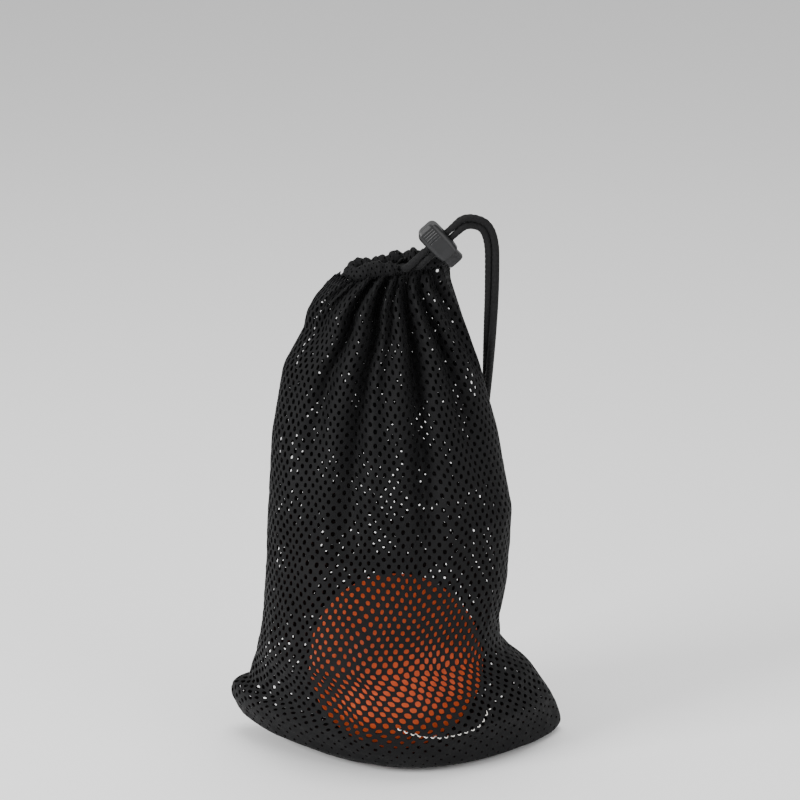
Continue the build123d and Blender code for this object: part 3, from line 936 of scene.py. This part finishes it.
@dataclass
class Hem:
    """The gathered casing round the mouth: net folded over the cord, sewn below with a row of stitches."""

    bag: MeshBag
    round_cut: float = 235.0  # mm of cloth that the outside of the gathers takes up
    wide: float = 25.0  # mm of cloth round the cord
    middle_radius: float = 3.5
    ripple_deep: float = 0.55
    bump_tall: float = 0.45

    def path(self, share: np.ndarray) -> tuple[np.ndarray, np.ndarray]:
        """Middle line of the casing in mm, and its outward directions, from the left end along the front."""
        run, end = self.bag.mouth_run, self.bag.mouth_end
        quarter = np.pi / 2 * end
        along = (share % 1.0) * (4 * quarter + 4 * run)
        centre, facing = np.zeros_like(along), np.zeros_like(along)
        start = 0.0
        for length, from_x, way, quarters in (
            (quarter, -run, 0, 2),  # front half of the left end
            (2 * run, -run, 1, 3),  # front
            (2 * quarter, run, 0, 3),  # right end
            (2 * run, run, -1, 1),  # back
            (quarter, -run, 0, 1),  # back half of the left end
        ):
            here = along >= start
            gone = along[here] - start
            centre[here] = from_x + way * gone
            facing[here] = quarters * np.pi / 2 + (0 if way else gone / end)
            start += length
        out_x, out_y = np.cos(facing), np.sin(facing)
        x, y = centre + end * out_x, end * out_y
        tilt = self.bag.mouth_tilt
        points = np.stack([x * np.cos(tilt), y, self.bag.mouth_height + x * np.sin(tilt)], -1)
        outward = np.stack([out_x * np.cos(tilt), out_y, out_x * np.sin(tilt)], -1)
        return points, outward

    def lift(self, around: np.ndarray, up: np.ndarray) -> np.ndarray:
        """Place flat points of the hem over the cord: up runs from the outside over the top to the inside."""
        share = around / self.round_cut
        middle, outward = self.path(share)
        tilt = self.bag.mouth_tilt
        upward = np.array([-np.sin(tilt), 0, np.cos(tilt)])
        turn = np.radians(-64 + 300 * up / self.wide)
        place = (share % 1.0) * self.bag.round_cut
        wave = np.clip((1.4 - self.bag.valley(place, np.full_like(place, 246.0))) / 4.4, -1, 1)
        slow = np.sin(16 * np.pi * share + 1.4 * np.sin(6 * np.pi * share))
        small = np.sin(2 * np.pi * 61 * share + 2.2 * np.sin(turn * 1.5))
        far = self.middle_radius + self.ripple_deep * wave + 0.12 * small
        far = far + np.clip(np.sin(turn), 0, 1) * (self.bump_tall * wave + 0.8 * slow)
        far = far * (1 - 0.3 * np.exp(-(((share + 0.5) % 1.0 - 0.5) / 0.07) ** 2))
        return middle + outward * (np.cos(turn) * far)[..., None] + upward * (np.sin(turn) * far)[..., None]

    def sheet(self, name: str, low: float, high: float, slit: tuple[float, float] | None) -> bpy.types.Object:
        """Net of one half of the hem, open where the cords come out."""
        whole = HemNet(
            round_cut=self.round_cut,
            cells_round=47,
            tall_cut=self.wide + self.bag.row_pitch,
            slack_hole=(0.50, 0.50),
            tight_left=0.0,
            laid=self.lift,
        )
        corners, inner, number, middle = whole.cells()
        around = middle[:, 0] % self.round_cut
        chosen = (around >= low) & (around < high)
        if slit:
            at_slit = (around > slit[0]) & (around < slit[1])
            chosen &= ~(at_slit & (middle[:, 1] > 4.5) & (middle[:, 1] < 11.5))
        return whole.sheet(name, corners, inner[chosen], number[chosen])

    def stitches(self, name: str, low: float, high: float) -> bpy.types.Object:
        """Row of thread stitches round the gathers below the casing."""
        bag, made = self.bag, []
        for start in np.arange(low + 1.5, high - 1.5, 3.4):
            around = np.linspace(start, start + 2.4, 7)
            on_cloth = bag.lift(around, np.full(7, bag.tall_cut - 6.2))
            beside = bag.lift(around + 0.4, np.full(7, bag.tall_cut - 6.2)) - on_cloth
            above = bag.lift(around, np.full(7, bag.tall_cut - 5.6)) - on_cloth
            out = np.cross(beside, above)
            out /= np.linalg.norm(out, axis=1, keepdims=True) + 1e-9
            arch = np.sin(np.linspace(0, np.pi, 7))[:, None]
            made.append(tube("stitch", (on_cloth + out * (0.10 + 0.45 * arch)) * MM, 0.2 * MM, 6))
        return join(made, name)

    def make(self, knit: bpy.types.Material, thread: bpy.types.Material) -> list[bpy.types.Object]:
        """Build both halves with their stitches."""
        half, whole = self.round_cut / 2, self.bag.round_cut
        nets = []
        for number, (side, slit) in enumerate((("front", (60.0, 86.0)), ("back", None))):
            net = self.sheet(f"hem_net_{side}", number * half, (number + 1) * half, slit)
            dress(net, knit, "hem", "bag")
            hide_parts(f"hem_casing_{side}")
            row = self.stitches(f"stitches_{side}", number * whole / 2, (number + 1) * whole / 2)
            dress(row, thread, "thread", "bag")
            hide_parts(f"hem_stitches_{side}")
            nets.append(net)
        return nets


@dataclass
class Seams:
    """Turned-in edges of the panels: two side seams, and one below from corner to corner."""

    bag: MeshBag
    wide: float = 3.6  # mm that the edges stand inwards
    thick: float = 1.1

    def side(self, name: str, around: float) -> bpy.types.Object:
        """Build the turned-in edge of one side seam."""
        up = np.linspace(3.0, self.bag.tall_cut - 3.0, 150)
        edge = self.bag.lift(np.full_like(up, around), up)
        inward = np.zeros_like(edge)
        inward[:, 0] = 1.0 if around == 0 else -1.0
        inward[:, 1] = 0.22 * np.sin(up / 9.0)
        return self.ribbon(name, edge + inward * 0.3, inward, up)

    def base(self, name: str) -> bpy.types.Object:
        """Build the turned-in edge of the seam under the ball."""
        around = np.linspace(4.0, self.bag.round_cut / 2 - 4.0, 110)
        edge = self.bag.lift(around, np.full_like(around, 0.2))
        near = np.clip((np.abs(edge[:, 0]) - 34) / 20, 0, 1)[:, None]
        inward = np.array([[0, -0.6, 0.0]]) * (1 - near) + np.array([[0, -0.3, 1.0]]) * near
        return self.ribbon(name, edge + np.array([0, 0, 0.5]), inward, around)

    def ribbon(self, name: str, edge: np.ndarray, inward: np.ndarray, run: np.ndarray) -> bpy.types.Object:
        """Build a strip from an edge inwards, slightly wavy, with its wall."""
        shares = np.linspace(0, 1, 5)
        waves = 0.25 * np.sin(run / 5.0)[:, None]
        points = np.concatenate([edge + inward * self.wide * share + share * waves for share in shares])
        count = len(edge)
        faces = [
            (row * count + k, row * count + k + 1, (row + 1) * count + k + 1, (row + 1) * count + k)
            for row in range(len(shares) - 1)
            for k in range(count - 1)
        ]
        flat = np.stack([np.tile(run, 5), np.repeat(shares * self.wide, count)], 1)
        made = new_mesh(name, self.bag.cleared(points) * MM, faces, flat * MM)
        apply(made, "SOLIDIFY", thickness=self.thick * MM, offset=0.0)
        return made

    def make(self, knit: bpy.types.Material) -> None:
        """Build and dress the three seams."""
        half = self.bag.round_cut / 2
        for piece, node in (
            (self.side("seam_left", 0.0), "left_side_seam"),
            (self.side("seam_right", half), "right_side_seam"),
            (self.base("seam_below"), "bottom_seam"),
        ):
            dress(piece, knit, "seam_tape", "bag")
            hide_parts(node)


# ------------------------------------------------------------------ cords
LOCK_MIDDLE: Point = (20.5, -16.8, 261.7)  # mm, middle of the lock's cord hole
LOCK_ALONG: Point = (-0.67816, 0.0, 0.73491)  # from the button to the ribbed end
LOCK_ACROSS: Point = (0.73491, 0.0, 0.67816)  # along the cord hole


@dataclass
class Drawstring:
    """The braided cord: a loop in the casing, two strands through the lock, and the knot on their ends."""

    diameter: float = 3.2
    plaits: int = 8
    relief: float = 0.075
    outer: tuple[Point, ...] = (
        (0.0, -7.2, 247.3),
        (4.5, -7.2, 248.1),
        (4.5, -13.6, 248.1),
        (12.3, -16.8, 256.4),
        (14.2, -16.8, 258.2),
        (25.3, -16.8, 268.3),
        (33.1, -16.8, 275.5),
        (46.7, -13.4, 269.2),
        (47.1, -12.2, 240.0),
        (46.1, -2.8, 212.9),
        (45.0, 13.4, 187.9),
        (43.6, 26.5, 165.9),
        (42.8, 31.3, 152.9),
    )
    inner: tuple[Point, ...] = (
        (14.6, -7.2, 249.9),
        (10.0, -7.2, 249.1),
        (10.0, -13.6, 249.1),
        (14.6, -16.8, 254.0),
        (16.5, -16.8, 255.7),
        (27.5, -16.8, 265.9),
        (33.5, -16.8, 271.5),
        (43.4, -13.4, 267.2),
        (43.8, -10.8, 240.0),
        (43.5, 0.8, 212.9),
        (43.8, 17.8, 187.9),
        (43.6, 30.7, 165.9),
        (42.8, 35.1, 152.9),
    )
    knot_middle: Point = (42.8, 33.2, 147.9)
    gripped: float = 0.475  # radius in the lock, as a share of the diameter
    swell: float = 0.075  # how much of the diameter the radius gains outside the lock

    def braid(self, turn: np.ndarray, run: np.ndarray) -> np.ndarray:
        """Relief of crossing yarns round and along a cord."""
        lay = 2 * np.pi * run / (2.6 * MM)
        one = np.sin(self.plaits / 2 * turn + lay)
        two = np.sin(self.plaits / 2 * turn - lay)
        return self.relief * (np.maximum(one, two) - 0.55)

    def smooth_line(self, route: Sequence[Point]) -> np.ndarray:
        """Points of the smooth curve that the route controls, in metres."""
        data = bpy.data.curves.new("route", "CURVE")
        data.dimensions, data.resolution_u = "3D", 24
        spline = data.splines.new("NURBS")
        spline.points.add(len(route) - 1)
        for place, point in zip(spline.points, route):
            place.co = (*[value * MM for value in point], 1)
        spline.order_u = 3
        spline.use_endpoint_u = True
        curve = bpy.data.objects.new("route", data)
        bpy.context.collection.objects.link(curve)
        mesh = bpy.data.meshes.new_from_object(curve)
        points = np.array([tuple(v.co) for v in mesh.vertices])
        bpy.data.objects.remove(curve, do_unlink=True)
        bpy.data.meshes.remove(mesh)
        return points

    def strand(
        self, name: str, node: str, route: Sequence[Point], braid: bpy.types.Material
    ) -> bpy.types.Object:
        """Build one strand from the casing to the knot."""
        line = evenly(self.smooth_line(route), 0.32 * MM)
        from_lock = np.linalg.norm(line / MM - np.array(LOCK_MIDDLE), axis=1)
        full = self.diameter * (self.gripped + self.swell * np.clip((from_lock - 8.5) / 5, 0, 1))
        made = tube(name, line, full * MM, 28, self.braid)
        dress(made, braid, "cord", "bag", 75)
        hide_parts(node)
        [value * MM for value in route[0]]
        return made

    def loop(self, hem: Hem, braid: bpy.types.Material) -> None:
        """Build the loop inside the casing, as far as the two exits."""
        share = np.linspace(0.325, 1.203, 420)
        points, _ = hem.path(share)
        line = evenly(points * MM, 0.5 * MM)
        made = tube("drawstring_in_casing", line, self.diameter / 2 * MM, 24, self.braid)
        dress(made, braid, "cord", "bag", 75)
        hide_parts("drawstring_loop")

    def knot(self, braid: bpy.types.Material) -> None:
        """Build the tied knot: the doubled cord wound through itself, with two cut ends."""
        turn = np.linspace(0, 2 * np.pi, 260, endpoint=False)
        pieces = []
        for number, (swell, twist) in enumerate(((1.0, 0.0), (0.72, 0.35))):
            wide = (2.05 + np.cos(3 * turn)) * 1.22 * swell
            round_it = 2 * turn + twist
            up = 4.1 * swell * np.sin(3 * turn)
            line = np.stack([wide * np.cos(round_it), wide * np.sin(round_it), up], 1)
            line = np.concatenate([line, line[:2]]) + np.array(self.knot_middle)
            pieces.append(tube(f"knot_turn_{number}", evenly(line * MM, 0.4 * MM), 1.62 * MM, 20, self.braid))
        for side in (-1, 1):
            down = np.linspace(0, 1, 26)[:, None]
            start = np.array(self.knot_middle) + np.array([side * 1.5, 0, -3.0])
            end = np.array([side * 3.0, side * 0.8, -9.6])
            bow = np.array([side * 0.9, 0, 0]) * np.sin(np.pi * down)
            pieces.append(tube("cut_end", (start + end * down + bow) * MM, 1.5 * MM, 20, self.braid))
        made = join(pieces, "knot")
        dress(made, braid, "cord", "bag", 75)
        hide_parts("tail_knot")

    def make(self, hem: Hem, braid: bpy.types.Material) -> None:
        """Build the whole drawstring."""
        self.strand("strand_outer", "tail_strand_outer", self.outer, braid)
        self.strand("strand_inner", "tail_strand_inner", self.inner, braid)
        self.loop(hem, braid)
        self.knot(braid)


@dataclass
class PaleArc:
    """A pale strand that weaves in and out of the front net in an arc below the ball's middle."""

    arc: tuple[Point, ...] = (
        (0.9, -43.3, 30.1),
        (11.6, -39.8, 25.2),
        (21.5, -35.9, 23.2),
        (33.5, -30.5, 23.9),
        (40.4, -27.5, 27.9),
        (43.9, -25.7, 32.2),
    )
    thick: float = 0.5

    def make(self, bag: MeshBag, thread: bpy.types.Material) -> None:
        """Build the strand just outside the net, dipping under it at even steps."""
        line = evenly(Drawstring().smooth_line(self.arc), 0.3 * MM) / MM
        run = distance_along(line)
        middle = np.array(bag.ball_middle)
        away = line - middle
        away /= np.linalg.norm(away, axis=1, keepdims=True)
        around, up = np.meshgrid(np.arange(70.0, 172.0, 0.8), np.arange(8.0, 80.0, 0.8))
        cloth = bag.lift(around.ravel(), up.ravel()) - middle
        cloth_far = np.linalg.norm(cloth, axis=1)
        nearest = np.argmax(away @ (cloth / cloth_far[:, None]).T, axis=1)
        far = np.convolve(np.pad(cloth_far[nearest], 6, mode="edge"), np.ones(13) / 13, mode="valid")
        line = middle + away * (far + 0.12 + 0.7 * np.sin(run * 2 * np.pi / 3.3))[:, None]
        # pale strand along an arc across the front net, weaving in and out of it
        made = tube("pale_arc_strand", line * MM, self.thick / 2 * MM, 8)
        dress(made, thread, "pale_thread", "bag", 75)
        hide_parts("pale_thread")


# ------------------------------------------------------------------ hard parts
@dataclass
class SoftEdged:
    """A moulded part taken from its exact solid, with the small radii that moulding leaves."""

    node: str
    name: str
    slot: str
    body: str
    voxel: float = 0.16  # mm
    passes: int = 5
    middle: Point = (21.0, -16.8, 261.15)  # middle of barrel and button together
    half_long: float = 11.35  # mm
    half_wide: float = 5.75
    squareness: float = 4.5  # power of the rounded outline, 2 is an ellipse

    def make(self, material: bpy.types.Material) -> bpy.types.Object:
        """Copy the solid, give it an even surface and let all its edges go round."""
        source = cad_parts[self.node]
        made = source.copy()
        made.data = source.data.copy()
        made.name = self.name
        bpy.context.collection.objects.link(made)
        only(made)
        bpy.ops.object.mode_set(mode="EDIT")
        bpy.ops.mesh.select_all(action="SELECT")
        bpy.ops.mesh.remove_doubles(threshold=0.005 * MM)
        bpy.ops.object.mode_set(mode="OBJECT")
        apply(made, "REMESH", mode="VOXEL", voxel_size=self.voxel * MM)
        apply(made, "SMOOTH", factor=0.5, iterations=self.passes)
        points = np.empty(len(made.data.vertices) * 3)
        made.data.vertices.foreach_get("co", points)
        points = points.reshape(-1, 3) - np.array(self.middle) * MM
        long, wide = points @ np.array(LOCK_ALONG) / MM, points @ np.array(LOCK_ACROSS) / MM
        power = self.squareness
        corner = (np.abs(long) / self.half_long) ** power + (np.abs(wide) / self.half_wide) ** power
        pull = np.maximum(corner, 1.0) ** (-1 / power) - 1
        points += np.outer(long * pull, LOCK_ALONG) * MM + np.outer(wide * pull, LOCK_ACROSS) * MM
        made.data.vertices.foreach_set("co", (points + np.array(self.middle) * MM).ravel())
        dress(made, material, self.slot, self.body, 35)
        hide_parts(self.node)
        return made


@dataclass
class Coil:
    """The cord lock's compression spring, which closes up as the button goes in."""

    low: float = 5.27  # mm from the cord hole's middle to the first turn
    high: float = 8.93
    seat: float = 9.2  # mm from there to the barrel's end, which the spring stands on
    radius: float = 2.6
    wire: float = 0.5
    turns: float = 3.5
    closed: float = 0.43  # height when pressed, as a share of the free height

    def make(self, steel: bpy.types.Material) -> None:
        """Wind the wire."""
        turn = np.linspace(0, 2 * np.pi * self.turns, 260)
        up = np.linspace(self.low, self.high, 260)
        line = np.array(LOCK_MIDDLE) + np.outer(up, LOCK_ALONG)
        line += np.outer(self.radius * np.cos(turn), LOCK_ACROSS)
        line[:, 1] += self.radius * np.sin(turn)
        made = tube("spring_coil", line * MM, self.wire / 2 * MM, 12)
        dress(made, steel, "spring_steel", "cord_lock", 75)
        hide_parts("lock_spring")
        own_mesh(made)


@dataclass
class Ball:
    """The orange ball: a fine sphere with its pebbled skin."""

    middle: Point = (0.0, 0.0, 45.7)
    radius: float = 42.95

    def make(self, skin: bpy.types.Material) -> None:
        """Build the ball from a subdivided start, pressed slightly uneven like a real moulding."""
        bpy.ops.object.select_all(action="DESELECT")
        bpy.ops.mesh.primitive_ico_sphere_add(subdivisions=7, radius=self.radius * MM)
        made = bpy.context.object
        made.name = "orange_ball"
        points = np.empty(len(made.data.vertices) * 3)
        made.data.vertices.foreach_get("co", points)
        points = points.reshape(-1, 3)
        way = points / np.linalg.norm(points, axis=1, keepdims=True)
        uneven = np.sin(way[:, 0] * 9 + 1.0) * np.sin(way[:, 1] * 8 + 2.0) * np.sin(way[:, 2] * 7)
        points = way * (self.radius - 0.06 + 0.05 * uneven)[:, None] * MM + np.array(self.middle) * MM
        made.data.vertices.foreach_set("co", points.ravel())
        dress(made, skin, "ball_skin", "ball")
        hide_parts("ball")


# ------------------------------------------------------------------ studio
@dataclass(frozen=True)
class Lamp:
    """A square soft lamp."""

    name: str
    place: Point  # m
    size: float  # m
    power: float  # W


@dataclass
class Studio:
    """Plain pale floor, soft light and the camera."""

    target: Point = (0.0020, 0.0, 0.180)  # m, where the camera looks
    away: float = 1.5
    elevation: float = 17.0  # degrees that the camera looks down by
    lens: float = 140.6
    sky: float = 0.7  # strength of the even light from all round
    lamps: tuple[Lamp, ...] = (
        Lamp("key", (-1.15, -0.75, 0.75), 0.55, 25.0),
        Lamp("fill", (0.9, -0.8, 0.6), 0.8, 7.0),
        Lamp("top", (0.0, 0.1, 1.5), 1.0, 14.0),
    )
    lit: Point = (0, 0, 0.13)  # m, where the lamps point

    def make(self) -> None:
        """Build the whole studio."""
        self.camera()
        self.floor()
        self.lights()

    def camera(self) -> None:
        """Set the camera level with the front, looking slightly down."""
        tilt = math.radians(self.elevation)
        data = bpy.data.cameras.new("camera")
        data.lens, data.sensor_width = self.lens, 36.0
        data.clip_end = 20
        made = bpy.data.objects.new("camera", data)
        x, y, z = self.target
        made.location = (x, y - self.away * math.cos(tilt), z + self.away * math.sin(tilt))
        made.rotation_euler = (math.pi / 2 - tilt, 0, 0)
        bpy.context.collection.objects.link(made)
        bpy.context.scene.camera = made

    def floor(self) -> None:
        """Lay the flat floor."""
        bpy.ops.object.select_all(action="DESELECT")
        bpy.ops.mesh.primitive_plane_add(size=8.0, location=(0, 0, 0))
        made = bpy.context.object
        made.name = "floor"
        made.data.materials.append(FloorFinish().make())

    def lights(self) -> None:
        """Light it softly: an even white sky, a lamp at each side and a broad one above."""
        world = bpy.data.worlds.new("world")
        bpy.context.scene.world = world
        world.use_nodes = True
        sky = world.node_tree.nodes["Background"]
        sky.inputs["Color"].default_value = (1, 1, 1, 1)
        sky.inputs["Strength"].default_value = self.sky
        for lamp in self.lamps:
            light = bpy.data.lights.new(lamp.name, "AREA")
            light.energy, light.size = lamp.power, lamp.size
            made = bpy.data.objects.new(lamp.name, light)
            made.location = lamp.place
            towards = Vector(self.lit) - Vector(lamp.place)
            made.rotation_euler = towards.to_track_quat("-Z", "Y").to_euler()
            bpy.context.collection.objects.link(made)


def main() -> None:
    """Build the studio, then every piece."""
    logging.basicConfig(level=logging.INFO, format="%(message)s")
    Studio().make()
    knit = KnitFinish("black_mesh").make()
    braid = BraidFinish("black_braid").make()
    thread = BraidFinish("black_thread").make()
    bag = MeshBag()
    sheets = bag.make(knit)
    hem = Hem(bag)
    bag.declare(sheets, hem.make(knit, thread))
    Seams(bag).make(knit)
    Drawstring().make(hem, braid)
    PaleArc().make(bag, PaleArcFinish("pale_arc_white").make())
    Ball().make(BallFinish("ball_orange").make())
    plastic = PlasticFinish("lock_black")
    SoftEdged("lock_barrel", "barrel", "lock_plastic", "cord_lock").make(plastic.make())
    dimpled = PlasticFinish(
        "button_black", base=(0.0035, 0.0036, 0.004, 1), worn=(0.008, 0.008, 0.009, 1), dimples=0.35
    )
    SoftEdged("lock_plunger", "button", "lock_plastic", "lock_button").make(dimpled.make())
    Coil().make(WireFinish("spring_wire").make())


if __name__ == "__main__":
    main()
